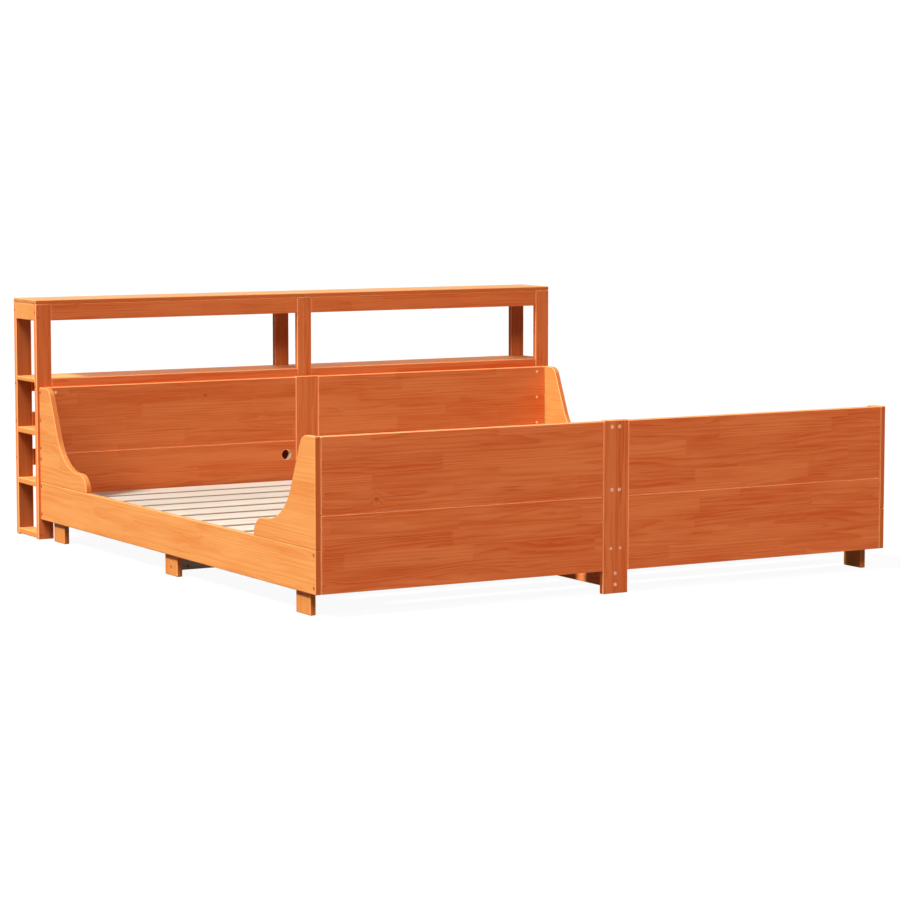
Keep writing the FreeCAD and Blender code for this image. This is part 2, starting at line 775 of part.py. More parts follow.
# Small dowels hold the window shelf between its rails and the top boards on the posts.
for side, sign in SIDES.items():
    for row, (face_y, inward) in FACES.items():
        for quarter in (1, 3):
            start = along(
                (
                    f"0 {sign} {CASE_END} * {quarter} / 4",
                    face_y,
                    "window_shelf_top - window_shelf_thickness / 2",
                ),
                inward,
                "post_thickness - edge_dowel_grip",
            )
            dowel(
                inward,
                start,
                "edge_dowel_diameter",
                "2 * edge_dowel_grip",
                [f"{row}_shelf_rail_{side}", f"window_shelf_{side}"],
            )
        post_middle = {side: f"({CASE_END} - post_width / 2)", "centre": "post_width / 4"}
        for place, middle_x in post_middle.items():
            dowel(
                "+z",
                (
                    f"0 {sign} {middle_x}",
                    f"{POST_Y[row]} + post_thickness / 2",
                    f"{CASE_TOP} - edge_dowel_grip",
                ),
                "edge_dowel_diameter",
                "edge_dowel_grip + top_board_thickness / 2",
                [f"bookcase_{row}_post_{place}", f"bookcase_top_board_{side}"],
            )

# Screws from inside the bookcase hold its front posts to the headboard.
LINK_X = {
    "left": f"0 - {INNER} + screw_pitch / 2",
    "centre": "0",
    "right": f"{INNER} - screw_pitch / 2",
}
for place, link_x in LINK_X.items():
    for level in LEVELS:
        backing = "headboard_post" if place == "centre" else f"headboard_{level}_board_{place}"
        screw(
            "wood_screws",
            "-y",
            (link_x, f"{HEAD} + post_thickness", f"{BOARD_MIDDLE[level]} + bolt_pitch / 2"),
            "post_thickness + screw_grip",
            [f"bookcase_front_post_{place}", backing],
        )

# A round hole for a cable through the headboard beside its post.
hole(
    "+y",
    (f"0 - cable_hole_offset", f"{HEAD} - 2 * panel_thickness", f"{LEVELS['upper']} - cable_hole_drop"),
    "cable_hole_diameter - 2 * hole_clearance",
    "3 * panel_thickness",
    ["headboard_lower_board_left"],
)

# Every sub-part takes its holes and its own name; like pieces share a compound.
parts = {}
for name, shapes in blanks.items():
    base = shapes[0]
    if len(shapes) > 1:
        base = doc.addObject("Part::Compound", name + "_set")
        base.Links = shapes
    parts[name] = cut(name, base, cutters[name]) if cutters[name] else base
for name, shapes in groups.items():
    parts[name] = doc.addObject("Part::Compound", name)
    parts[name].Links = shapes
for name, thing in parts.items():
    thing.Label = name
doc.recompute()

failed = [thing.Name for thing in doc.Objects if {"Invalid", "Error"} & set(thing.State)]
failed += [name for name, thing in parts.items() if thing.Shape.isNull() or not thing.Shape.isValid()]
if failed:
    raise RuntimeError("failed: " + ", ".join(failed))

os.makedirs("parts", exist_ok=True)
for name, thing in parts.items():
    thing.Shape.exportStep(f"parts/{name}.step")
print(len(parts), "sub-parts,", sum(len(thing.Shape.Solids) for thing in parts.values()), "solids")
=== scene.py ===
import math

import bpy
import numpy as np
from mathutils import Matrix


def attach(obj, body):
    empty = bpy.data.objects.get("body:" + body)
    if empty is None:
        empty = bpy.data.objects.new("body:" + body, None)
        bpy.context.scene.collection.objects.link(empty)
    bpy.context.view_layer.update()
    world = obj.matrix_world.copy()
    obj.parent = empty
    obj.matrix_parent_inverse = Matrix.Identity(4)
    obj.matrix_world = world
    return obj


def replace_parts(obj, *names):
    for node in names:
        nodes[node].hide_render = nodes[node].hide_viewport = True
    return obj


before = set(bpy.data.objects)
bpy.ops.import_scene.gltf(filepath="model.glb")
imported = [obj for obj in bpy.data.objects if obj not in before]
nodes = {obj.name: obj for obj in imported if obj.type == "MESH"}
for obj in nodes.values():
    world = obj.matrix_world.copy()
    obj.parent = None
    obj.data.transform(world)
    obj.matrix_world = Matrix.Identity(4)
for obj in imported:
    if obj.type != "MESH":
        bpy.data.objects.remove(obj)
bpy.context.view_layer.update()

# Side panels: a full-length rail on edge with a curved wing standing on it at each end.
# Edge-glued pine staves with finger joints, stained honey brown under a satin wax; the wings are
# dowelled to the rails, and the arrises are rounded over and worn a little paler, partly as a
# painted highlight, with a painted highlight line along the inner edge of the panel ends.


def join(tree, kind, inputs=(), **settings):
    """A node of the tree; inputs that are sockets are linked, the others are set as constants."""
    node = tree.nodes.new(kind)
    for name, value in settings.items():
        setattr(node, name, value)
    for key, value in dict(inputs).items():
        if isinstance(value, bpy.types.NodeSocket):
            tree.links.new(value, node.inputs[key])
        else:
            node.inputs[key].default_value = value
    return node.outputs


def sums(tree, operation, *values):
    """One arithmetic step on sockets and numbers."""
    return join(tree, "ShaderNodeMath", enumerate(values), operation=operation)[0]


def ramp(tree, value, low, high, smooth=True):
    """0 below low, 1 above high, eased in between."""
    kind = "SMOOTHSTEP" if smooth else "LINEAR"
    inputs = {"Value": value, "From Min": low, "From Max": high}
    return join(tree, "ShaderNodeMapRange", inputs, interpolation_type=kind)[0]


def tint(tree, amount, first, second):
    """Goes from the first colour to the second by an amount from 0 to 1."""
    inputs = {0: amount, 6: first, 7: second}
    return join(tree, "ShaderNodeMix", inputs, data_type="RGBA")[2]


def stain(tree, colour, other, mask, share):
    """Takes a colour a share of the way to another one where the mask is 1."""
    return tint(tree, sums(tree, "MULTIPLY", mask, share), colour, other)


def drift(tree, noise, size, middle=0.0):
    """Noise from 0 to 1 turned into values that spread over a size about a middle."""
    return sums(tree, "MULTIPLY_ADD", noise, size, middle - size / 2)


def hypotenuse(tree, first, second):
    """sqrt(first^2 + second^2)."""
    squares = sums(tree, "MULTIPLY_ADD", first, first, sums(tree, "MULTIPLY", second, second))
    return sums(tree, "SQRT", squares)


def fibres(tree, board, pull, detail, seed):
    """Noise drawn out along the grain. board holds the distances along, across and through it, and
    pull the waves per metre along and across it."""
    along, across, through = board
    spot = join(tree, "ShaderNodeCombineXYZ", {
        0: sums(tree, "MULTIPLY", along, pull[0]),
        1: sums(tree, "MULTIPLY_ADD", across, pull[1], seed),
        2: sums(tree, "MULTIPLY", through, pull[1]),
    })[0]
    inputs = {"Vector": spot, "Scale": 1.0, "Detail": detail, "Roughness": 0.55}
    return join(tree, "ShaderNodeTexNoise", inputs)[0]


FINGER_PITCH, FINGER_SLOPE = 0.0038, 2.4
KNOTS_PER_METRE = 2.6
KNOT_CORE, KNOT_RIM, KNOT_REACH = 0.01, 0.024, 0.075
SWAY, RIPPLE, KNOT_SWELL = 0.026, 0.004, 0.007
HEART_ASIDE, HEART_DEPTH, HEART_DEPTH_SPREAD = 0.13, 0.014, 0.085
RING_PITCH, RING_PITCH_SPREAD = 0.0042, 0.0035
# bare wood for a drilled hole's wall, paler than the bare slats partly as painted light on the wall
BARE_WALL_AND_LIGHT = (0.95, 0.82, 0.56, 1)
STAINED = {
    "early": (0.8, 0.262, 0.078, 1),
    "late": (0.6, 0.098, 0.01, 1),
    "resin": (0.3, 0.052, 0.01, 1),
    "arris": (1.0, 0.43, 0.18, 1),
    "rough": 0.6,
}


def pine(name, axes, middle, finish, stave, seed, **ways):
    """Pine cut from staves. axes names the directions along the grain, across the board and through
    it, and middle is the board's distance from zero through its thickness. finish has the colours of
    early and late wood, resin and arrises that are worn paler and carry a painted highlight, and may
    have one for the narrow edges. stave is the width and length of the staves. Growth rings are
    circles round a heart that lies beside each stave, r = sqrt(across^2 + through^2), so the faces
    show streaks and flames and the sawn ends show arcs. ways says how the board was worked and where
    light and shade are painted on: rubbed is how far the arrises are worn paler and lit with a
    painted highlight, soaked how far the sawn ends took up more stain, deep how far the broad faces
    are darkened with painted shade, clear the share of the wood that has no knots, gloss the wax's
    shine, rim a painted highlight line (the axis that it crosses, its distance from zero, its
    width), and bore a drilled hole's place along and across the grain and its radius, whose wall is
    bare wood painted pale, partly as painted light on it."""
    ways = {"rubbed": 0.8, "soaked": 0.6, "deep": 0.0, "clear": 0.78, "gloss": 0.16} | ways
    paint = bpy.data.materials.new(name)
    paint.use_nodes = True
    tree = paint.node_tree
    tree.nodes.clear()
    place = join(tree, "ShaderNodeTexCoord")["Object"]
    xyz = dict(zip("xyz", join(tree, "ShaderNodeSeparateXYZ", {0: place})))
    along, across, through = (xyz[letter] for letter in axes)
    through = sums(tree, "SUBTRACT", sums(tree, "ABSOLUTE", through), middle)
    board = (along, across, through)

    # staves in rows, cut to lengths that meet in finger joints
    row = sums(tree, "FLOOR", sums(tree, "DIVIDE", across, stave[0]))
    draw = {"W": sums(tree, "ADD", row, seed + 0.37)}
    slip = join(tree, "ShaderNodeTexWhiteNoise", draw, noise_dimensions="1D")[0]
    comb = sums(tree, "MULTIPLY", sums(tree, "PINGPONG", across, FINGER_PITCH), FINGER_SLOPE)
    run = sums(tree, "DIVIDE", sums(tree, "ADD", along, comb), stave[1])
    piece = sums(tree, "FLOOR", sums(tree, "MULTIPLY_ADD", slip, 7.0, run))
    spot = join(tree, "ShaderNodeCombineXYZ", {0: row, 1: piece, 2: seed + 0.61})[0]
    luck = join(tree, "ShaderNodeTexWhiteNoise", {"Vector": spot}, noise_dimensions="3D")
    first, second, third = join(tree, "ShaderNodeSeparateXYZ", {0: luck["Color"]})

    # a few knots, and the swell of the grain round them
    face = join(tree, "ShaderNodeCombineXYZ", {0: along, 1: sums(tree, "ADD", across, seed)})[0]
    cells = {"Vector": face, "Scale": KNOTS_PER_METRE}
    knots = join(tree, "ShaderNodeTexVoronoi", cells, voronoi_dimensions="2D")
    lot = join(tree, "ShaderNodeSeparateXYZ", {0: knots["Color"]})[0]
    few = ramp(tree, lot, ways["clear"], ways["clear"] + 0.02)
    knot = sums(tree, "MULTIPLY", ramp(tree, knots["Distance"], KNOT_RIM, KNOT_CORE), few)
    swell = sums(tree, "MULTIPLY", ramp(tree, knots["Distance"], KNOT_REACH, 0.0), few)

    # growth rings round the heart, pale early wood and a dark line of late wood in each
    sway = drift(tree, fibres(tree, board, (1.7, 9.0), 2.0, seed), SWAY)
    ripple = drift(tree, fibres(tree, board, (9.0, 60.0), 2.0, seed + 4), RIPPLE)
    bend = sums(tree, "MULTIPLY_ADD", swell, KNOT_SWELL, sums(tree, "ADD", ripple, sway))
    centre = sums(tree, "MULTIPLY", sums(tree, "ADD", row, 0.5), stave[0])
    aside = sums(tree, "ADD", drift(tree, first, HEART_ASIDE), sums(tree, "SUBTRACT", across, centre))
    aside = sums(tree, "ADD", aside, bend)
    depth = sums(tree, "MULTIPLY_ADD", second, HEART_DEPTH_SPREAD, HEART_DEPTH)
    depth = sums(tree, "ADD", sums(tree, "ADD", depth, through), bend)
    pitch = sums(tree, "MULTIPLY_ADD", third, RING_PITCH_SPREAD, RING_PITCH)
    ring = sums(tree, "FRACT", sums(tree, "DIVIDE", hypotenuse(tree, aside, depth), pitch))
    late = sums(tree, "MULTIPLY", ramp(tree, ring, 0.25, 0.88), ramp(tree, ring, 1.0, 0.9))

    # grain from fine threads to broad clouds, and resin streaks
    thread = fibres(tree, board, (7.0, 520.0), 3.0, seed + 9)
    streak = fibres(tree, board, (4.6, 115.0), 4.0, seed + 13)
    cloud = fibres(tree, board, (3.0, 20.0), 2.0, seed + 17)
    grain = sums(tree, "MULTIPLY_ADD", late, 0.3, drift(tree, thread, 0.4))
    grain = sums(tree, "ADD", grain, drift(tree, streak, 0.85))
    grain = sums(tree, "ADD", grain, drift(tree, cloud, 0.95))
    grain = sums(tree, "ADD", grain, drift(tree, luck["Value"], 0.3, middle=0.2))
    amount = ramp(tree, grain, 0.0, 1.0, smooth=False)
    colour = tint(tree, amount, finish["early"], finish["late"])
    pitchy = ramp(tree, fibres(tree, board, (3.4, 62.0), 2.0, seed + 31), 0.68, 0.8)
    colour = stain(tree, colour, finish["resin"], pitchy, 0.4)
    colour = stain(tree, colour, finish["resin"], knot, 0.45)

    # sawn ends take up more stain, narrow edges may have a tone of their own, broad faces may be
    # darkened with painted shade, and arrises are worn paler with a painted highlight
    normal = join(tree, "ShaderNodeSeparateXYZ", {0: join(tree, "ShaderNodeNewGeometry")["Normal"]})
    facing = {letter: sums(tree, "ABSOLUTE", part) for letter, part in zip("xyz", normal)}
    ends, edges, flat = (facing[letter] for letter in axes)
    colour = stain(tree, colour, finish["resin"], ramp(tree, ends, 0.8, 0.97), ways["soaked"])
    # narrow edges in a tone of their own; on the back posts in the windows this is painted shade
    if "edge" in finish:
        colour = stain(tree, colour, finish["edge"], ramp(tree, edges, 0.9, 0.98), 0.75)
    # painted shade: the broad faces are darkened toward the resin colour
    if ways["deep"]:
        colour = stain(tree, colour, finish["resin"], ramp(tree, flat, 0.9, 0.98), ways["deep"])
    # arrises paler: partly wear, partly a painted highlight
    upright = sums(tree, "SQRT", sums(tree, "SUBTRACT", 1.0, sums(tree, "MULTIPLY", flat, flat)))
    arris = ramp(tree, sums(tree, "MAXIMUM", flat, upright), 0.997, 0.94)
    colour = stain(tree, colour, finish["arris"], arris, ways["rubbed"])
    # a painted highlight line along a seam, in the arris colour
    if "rim" in ways:
        letter, distance, width = ways["rim"]
        apart = sums(tree, "SUBTRACT", sums(tree, "ABSOLUTE", xyz[letter]), distance)
        line = ramp(tree, sums(tree, "ABSOLUTE", apart), width, width * 0.6)
        line = sums(tree, "MULTIPLY", line, ramp(tree, facing[letter], 0.9, 0.7))
        colour = stain(tree, colour, finish["arris"], line, 0.65)
    # the hole's wall is bare wood, painted pale partly as light falling on it
    if "bore" in ways:
        bore_along, bore_across, bore_radius = ways["bore"]
        off = sums(tree, "SUBTRACT", along, bore_along)
        up = sums(tree, "SUBTRACT", across, bore_across)
        wall = ramp(tree, hypotenuse(tree, off, up), bore_radius + 0.0008, bore_radius + 0.0002)
        colour = tint(tree, wall, colour, BARE_WALL_AND_LIGHT)

    # the wax is duller on open grain, and the threads stand out a little
    rough = sums(tree, "MULTIPLY_ADD", late, -0.06, finish["rough"] - 0.08)
    rough = sums(tree, "MULTIPLY_ADD", thread, 0.16, rough)
    relief = sums(tree, "MULTIPLY_ADD", thread, 0.5, sums(tree, "MULTIPLY", late, 0.5))
    bump = join(tree, "ShaderNodeBump", {"Strength": 0.35, "Distance": 0.0006, "Height": relief})[0]
    surface = join(tree, "ShaderNodeBsdfPrincipled", {
        "Base Color": colour,
        "Roughness": rough,
        "Normal": bump,
        "Specular IOR Level": ways["gloss"],
    })[0]
    join(tree, "ShaderNodeOutputMaterial", {0: surface})
    return paint


def finish_with(paint, *names):
    """Gives CAD nodes a material in all their slots."""
    for name in names:
        mesh = nodes[name].data
        mesh.materials.clear()
        mesh.materials.append(paint)


SIDES = ("left", "right")
SIDE_STAIN = STAINED | {
    "early": (0.59, 0.26, 0.073, 1),
    "late": (0.51, 0.152, 0.026, 1),
    "resin": (0.56, 0.15, 0.033, 1),
}
# places a painted highlight line along the seam where the side panels meet the footboard's ends
PANEL_END = ("x", 1.0085, 0.0036)
SIDE_WAYS = {"rubbed": 0.22, "soaked": 1.0, "clear": 1.0, "rim": PANEL_END}
side_pine = pine("side_panel_pine", "yzx", 1.018, SIDE_STAIN, (0.0434, 0.52), 3.0, **SIDE_WAYS)
for side in SIDES:
    finish_with(side_pine, f"side_rail_{side}", f"foot_wing_{side}", f"head_wing_{side}")

# Footboard and headboard: two wide boards, one over the other, on each side of the centre post.
# The same glued and stained pine with its grain level; cams, dowels and bolts hold their ends.
STAVE = (0.0458, 0.43)
CABLE_HOLE = (-0.085, 0.249, 0.0185)
# places a painted highlight line along the seams beside the head post
POST_EDGE = ("x", 0.045, 0.0036)
# the headboard's broad faces carry painted shade, the footboard's a little
HEAD_WAYS = {"deep": 0.25, "rim": POST_EDGE}
foot_pine = pine("footboard_pine", "xzy", 1.118, STAINED, STAVE, 11.0, deep=0.05, rim=PANEL_END)
head_pine = pine("headboard_pine", "xzy", 0.918, STAINED, STAVE, 16.0, bore=CABLE_HOLE, **HEAD_WAYS)
for level in ("lower", "upper"):
    for side in SIDES:
        finish_with(foot_pine, f"footboard_{level}_board_{side}")
        finish_with(head_pine, f"headboard_{level}_board_{side}")
# the foot post's broad faces carry a little painted shade
foot_post_pine = pine("footboard_post_pine", "zxy", 1.118, STAINED, (0.09, 0.9), 23.0, deep=0.12)
finish_with(foot_post_pine, "footboard_post")
head_post_pine = pine("headboard_post_pine", "zxy", 0.918, STAINED, (0.09, 0.9), 28.0, **HEAD_WAYS)
finish_with(head_post_pine, "headboard_post")

# Feet and centre stretcher: short upright boards screwed inside the rails, and a rail on edge
# bolted between the centre posts near the floor. Pine, stained like the panels.
LEG_STAIN = STAINED | {"early": (0.56, 0.228, 0.058, 1), "late": (0.48, 0.125, 0.017, 1)}
leg_pine = pine("foot_pine", "zyx", 0.999, LEG_STAIN, (0.09, 0.7), 37.0, rubbed=0.3)
for side in SIDES:
    finish_with(leg_pine, *(f"foot_{place}_{side}" for place in ("front", "middle", "rear")))
stretcher_pine = pine("stretcher_pine", "yzx", 0.0, STAINED, (0.057, 0.8), 41.0)
finish_with(stretcher_pine, "centre_stretcher")

# Slats, ledgers, bearer, cross stretcher and centre legs: planed pine left bare and pale, because
# the mattress and the rails cover it. The slats lie loose on the ledgers and the bearer.
BARE = {
    "early": (0.51, 0.485, 0.425, 1),
    "late": (0.42, 0.375, 0.305, 1),
    "resin": (0.36, 0.2, 0.09, 1),
    "arris": (0.56, 0.48, 0.36, 1),
    "rough": 0.6,
}
slat_pine = pine("slat_pine", "xyz", 0.1535, BARE, (0.155, 1.3), 53.0)
finish_with(slat_pine, "slats_left", "slats_right")
ledger_pine = pine("ledger_pine", "yzx", 0.9985, BARE, (0.06, 1.2), 59.0)
finish_with(ledger_pine, "slat_ledger_left", "slat_ledger_right")
bearer_pine = pine("bearer_pine", "yxz", 0.139, BARE, (0.06, 1.2), 61.0)
finish_with(bearer_pine, "slat_bearer")
cross_pine = pine("cross_stretcher_pine", "xzy", 0.1, BARE, (0.057, 0.9), 67.0)
finish_with(cross_pine, "cross_stretcher")
centre_leg_pine = pine("centre_leg_pine", "zyx", 0.0195, BARE, (0.09, 0.7), 71.0)
finish_with(centre_leg_pine, "centre_legs")

# Bookcase posts and rails: narrow boards, the posts upright and the rails on edge between them.
# Stained pine; bolts through the end posts and dowels through the centre posts hold the rails. The
# broad faces carry painted shade, much more in the back row, and the side edges of the two back
# posts that show in the windows are painted dark as shade.
PLACES = ("left", "centre", "right")
BACK = 1.1175
POST_STAVE, RAIL_STAVE = (0.0285, 0.8), (0.0285, 0.6)
# a darker resin tone for the back row, which is also the colour its painted shade darkens toward
BACK_STAIN_AND_SHADE = STAINED | {"resin": (0.2, 0.07, 0.018, 1)}
# painted shade on the side edges of the back centre and right posts
INNER_STAIN_AND_SHADE = BACK_STAIN_AND_SHADE | {"edge": (0.2, 0.07, 0.018, 1)}
# the last column is the share of painted shade on the broad faces, far more in the back row
CASE_ROWS = (("front", 0.9375, STAINED, 83.0, 0.27), ("back", BACK, BACK_STAIN_AND_SHADE, 89.0, 0.65))
for row, middle, colours, seed, deep in CASE_ROWS:
    case_post_pine = pine(f"case_{row}_post_pine", "zxy", middle, colours, POST_STAVE, seed, deep=deep)
    finish_with(case_post_pine, *(f"bookcase_{row}_post_{place}" for place in PLACES))
    ways = {"rubbed": 0.25, "deep": deep}
    case_rail_pine = pine(f"case_{row}_rail_pine", "xzy", middle, colours, RAIL_STAVE, seed + 3, **ways)
    for side in SIDES:
        finish_with(case_rail_pine, f"{row}_top_rail_{side}", f"{row}_shelf_rail_{side}")
finish_with(case_rail_pine, "back_guard_rails")
inner_post_pine = pine("case_inner_post_pine", "zxy", BACK, INNER_STAIN_AND_SHADE, POST_STAVE, 91.0, deep=0.45)
finish_with(inner_post_pine, "bookcase_back_post_centre", "bookcase_back_post_right")
cross_rail_pine = pine("case_cross_rail_pine", "yzx", 1.027, SIDE_STAIN, (0.057, 0.5), 97.0, rubbed=0.25)
finish_with(cross_rail_pine, *(f"top_cross_rail_{place}" for place in PLACES))

# Bookcase top boards and shelves: glued boards laid flat, the halves meeting over the centre posts,
# and short boards near the floor that tie the posts' feet. Stained pine, screwed and dowelled
# through the posts and rails.
SHELF_STAIN = STAINED | {
    "early": (0.72, 0.35, 0.11, 1),
    "late": (0.58, 0.19, 0.045, 1),
    "resin": (0.56, 0.21, 0.05, 1),
}
TOP_STAIN = STAINED | {
    "early": (0.49, 0.225, 0.062, 1),
    "late": (0.41, 0.147, 0.029, 1),
    "edge": (0.6, 0.132, 0.026, 1),
}
SHELF_WAYS = {"rubbed": 0.3, "soaked": 0.85, "gloss": 0.04}
shelf_pine = pine("case_shelf_pine", "xyz", 0.4, SHELF_STAIN, (0.04, 0.45), 101.0, **SHELF_WAYS)
top_pine = pine("case_top_pine", "xyz", 0.821, TOP_STAIN, (0.04, 0.45), 103.0, rubbed=0.3, soaked=0.1)
for side in SIDES:
    finish_with(shelf_pine, f"window_shelf_{side}", f"lower_shelves_{side}")
    finish_with(top_pine, f"bookcase_top_board_{side}")

# Bolts: flat heads with a six-sided socket, let in just under the face, their shanks in the wood.
# Cold-headed steel, zinc plated with a warm tone at the centre posts, browned in the side panels
# and the bookcase, where the dark heads also serve as painted shade of a deep recess.


def plated_steel(name, colour, dark, scale, metal):
    """Plated or browned steel: its tone and gloss drift in soft clouds, and lacquer dulls the metal."""
    paint = bpy.data.materials.new(name)
    paint.use_nodes = True
    tree = paint.node_tree
    tree.nodes.clear()
    place = join(tree, "ShaderNodeTexCoord")["Object"]
    inputs = {"Vector": place, "Scale": scale, "Detail": 3.0, "Roughness": 0.6}
    cloud = join(tree, "ShaderNodeTexNoise", inputs)[0]
    bump = join(tree, "ShaderNodeBump", {"Strength": 0.2, "Distance": 0.0002, "Height": cloud})[0]
    surface = join(tree, "ShaderNodeBsdfPrincipled", {
        "Base Color": tint(tree, cloud, colour, dark),
        "Metallic": metal,
        "Roughness": ramp(tree, cloud, -0.6, 2.0, smooth=False),
        "Normal": bump,
    })[0]
    join(tree, "ShaderNodeOutputMaterial", {0: surface})
    return paint


def turns(count):
    """Evenly spaced angles round an axis."""
    return np.linspace(0.0, 2 * np.pi, count, endpoint=False)


def hexagon(radius, angles):
    """A six-sided ring: r(a) = radius cos(30 deg) / cos((a mod 60 deg) - 30 deg)."""
    sixth = np.pi / 3
    return radius * np.cos(sixth / 2) / np.cos(angles % sixth - sixth / 2)


WARM, BROWN_AND_SHADE = 0, 1
warm_zinc = plated_steel("warm_zinc", (1.0, 0.76, 0.53, 1), (1.0, 0.6, 0.39, 1), 260.0, 0.2)
# browned steel; its dark tone on the shallow bolt heads in the side panels and bookcase ends is partly
# painted shade
browned_and_shaded_steel = plated_steel("browned_steel_and_shade", (0.46, 0.21, 0.075, 1), (0.33, 0.135, 0.045, 1), 310.0, 0.4)
STEELS = (warm_zinc, browned_and_shaded_steel)
SHARP = math.radians(35)


def turned(name, rings, fits):
    """Turned parts, all alike. rings are (r(a), depth) from the face to the tip, in millimetres, and
    fits are (place, d, steel), one for each part, which has the points
    place + d depth + r(a) (u cos a + v sin a), where d is its inward direction and u x v = d.
    Both ends close on the axis. steel is the number of the part's paint in STEELS."""
    places, inward, steels = zip(*fits)
    count = len(rings[0][0])
    angles = turns(count)
    radii = np.stack([ring for ring, depth in rings])
    depths = np.array([depth for ring, depth in rings])
    place = np.array(places, float)[:, None, None, :]
    d = np.array(inward, float)[:, None, None, :]
    u = np.roll(d, 1, axis=-1)
    v = np.cross(d, u)
    swing = u * np.cos(angles)[:, None] + v * np.sin(angles)[:, None]
    skin = place + d * depths[:, None, None] + radii[:, :, None] * swing
    poles = place[:, 0] + d[:, 0] * depths[[0, -1]][:, None]
    parts = len(skin)
    points = np.concatenate([skin.reshape(parts, -1, 3), poles], axis=1) / 1000.0

    row, spoke = np.meshgrid(np.arange(len(rings) - 1) * count, np.arange(count), indexing="ij")
    after = (spoke + 1) % count
    walls = np.stack([row + spoke, row + after, row + after + count, row + spoke + count], -1)
    here, there = np.arange(count), (np.arange(count) + 1) % count
    last = (len(rings) - 1) * count
    front = np.stack([np.full(count, last + count), there, here], -1)
    tip = np.stack([np.full(count, last + count + 1), last + here, last + there], -1)
    base = (np.arange(parts) * points.shape[1])[:, None, None]
    faces = (base + walls.reshape(-1, 4)).reshape(-1, 4).tolist()
    faces += (base + front).reshape(-1, 3).tolist() + (base + tip).reshape(-1, 3).tolist()
    paint_of = np.concatenate([np.repeat(steels, each) for each in (walls.size // 4, count, count)])

    mesh = bpy.data.meshes.new(name)
    mesh.from_pydata(points.reshape(-1, 3).tolist(), [], faces)
    for paint in STEELS:
        mesh.materials.append(paint)
    mesh.polygons.foreach_set("material_index", paint_of.astype(np.int32))
    mesh.shade_smooth()
    mesh.set_sharp_from_angle(angle=SHARP)
    thing = bpy.data.objects.new(name, mesh)
    bpy.context.scene.collection.objects.link(thing)
    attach(thing, "root")
    return thing


def socket_bolt(length, around):
    """Rings of a bolt: socket floor and rim, chamfered head, shank and blunt tip."""
    ring = np.ones(len(around))
    return [
        (hexagon(2.2, around), 2.4), (hexagon(2.4, around), 0.0), (5.3 * ring, 0.0), (6.0 * ring, 0.7),
        (6.0 * ring, 4.0), (3.0 * ring, 4.0), (3.0 * ring, length - 1.0), (2.2 * ring, length),
    ]


SUNK = 0.5
ENDS = (-1, 1)
OUTER_X, INNER_X = 1027.5, 1008.5
FRONT_Y, MIDDLE_Y, HEAD_Y = -1127.5, -100.0, 927.5
FOOT_END, HEAD_END = -1118.0, 918.0
SIDE_BOLTS = [(HEAD_END, z) for z in (88.5, 184.5, 280.5, 317.5, 413.5, 509.5)]
SIDE_BOLTS += [(FOOT_END, z) for z in (88.5, 184.5)]
STRETCHER_BOLTS = (27.5, 61.5)
bolts = [((s * (OUTER_X - SUNK), y, z), (-s, 0, 0), BROWN_AND_SHADE) for s in ENDS for y, z in SIDE_BOLTS]
bolts += [((s * (INNER_X - SUNK), MIDDLE_Y, z), (-s, 0, 0), BROWN_AND_SHADE) for s in ENDS for z in STRETCHER_BOLTS]
bolts += [((0.0, FRONT_Y + SUNK, z), (0, 1, 0), WARM) for z in STRETCHER_BOLTS]
bolts += [((0.0, HEAD_Y - SUNK, z), (0, -1, 0), WARM) for z in STRETCHER_BOLTS]
frame_bolts = turned("socket_bolts", socket_bolt(62.0, turns(24)), bolts)
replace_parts(frame_bolts, "bed_bolts")
CASE_X, CASE_FRONT, CASE_BACK = 1037.0, 937.5, 1117.5
TOP_RAIL_Z, SHELF_RAIL_Z, GUARD_RAIL_HEIGHTS = 785.5, 528.5, (398.5, 268.5)
CASE_BOLTS = [(CASE_FRONT, z) for z in (TOP_RAIL_Z, SHELF_RAIL_Z)]
CASE_BOLTS += [(CASE_BACK, z) for z in (TOP_RAIL_Z, SHELF_RAIL_Z, *GUARD_RAIL_HEIGHTS)]
bolts = [((s * (CASE_X - SUNK), y, z), (-s, 0, 0), BROWN_AND_SHADE) for s in ENDS for y, z in CASE_BOLTS]
case_bolts = turned("case_bolts", socket_bolt(97.0, turns(24)), bolts)
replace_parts(case_bolts, "bookcase_bolts")

# Barrel nuts: round steel nuts let into the boards' inner faces and crossed by the bolts.
# Turned with a chamfer at each end and a slot across the face to line them up.


def slot(radius, half_width, angles):
    """A straight slot: r(a) = min(radius, half_width / |sin a|)."""
    return np.minimum(radius, half_width / np.maximum(np.abs(np.sin(angles)), 1e-6))


around = turns(32)
ring = np.ones(32)
nut_rings = [
    (slot(3.4, 0.7, around), 1.4), (slot(3.6, 0.8, around), 0.0), (4.4 * ring, 0.0), (5.0 * ring, 0.6),
    (5.0 * ring, 13.4), (4.4 * ring, 14.0),
]
SETBACK = 34.0
FOOT_X, STRETCHER_HALF = 989.5, 10.0
FOOT_INNER, HEAD_INNER = -1108.5, 908.5
NUT_X, STRETCHER_X = INNER_X - SETBACK, FOOT_X - SETBACK
STRETCHER_Y = (FOOT_INNER + SETBACK, HEAD_INNER - SETBACK)
SIDE_Y = MIDDLE_Y - STRETCHER_HALF
nuts = [((s * NUT_X, HEAD_INNER, z), (0, 1, 0), WARM) for s in ENDS for y, z in SIDE_BOLTS if y > 0]
nuts += [((s * NUT_X, FOOT_INNER, z), (0, -1, 0), BROWN_AND_SHADE) for s in ENDS for y, z in SIDE_BOLTS if y < 0]
nuts += [((-STRETCHER_HALF, y, z), (1, 0, 0), BROWN_AND_SHADE) for y in STRETCHER_Y for z in STRETCHER_BOLTS]
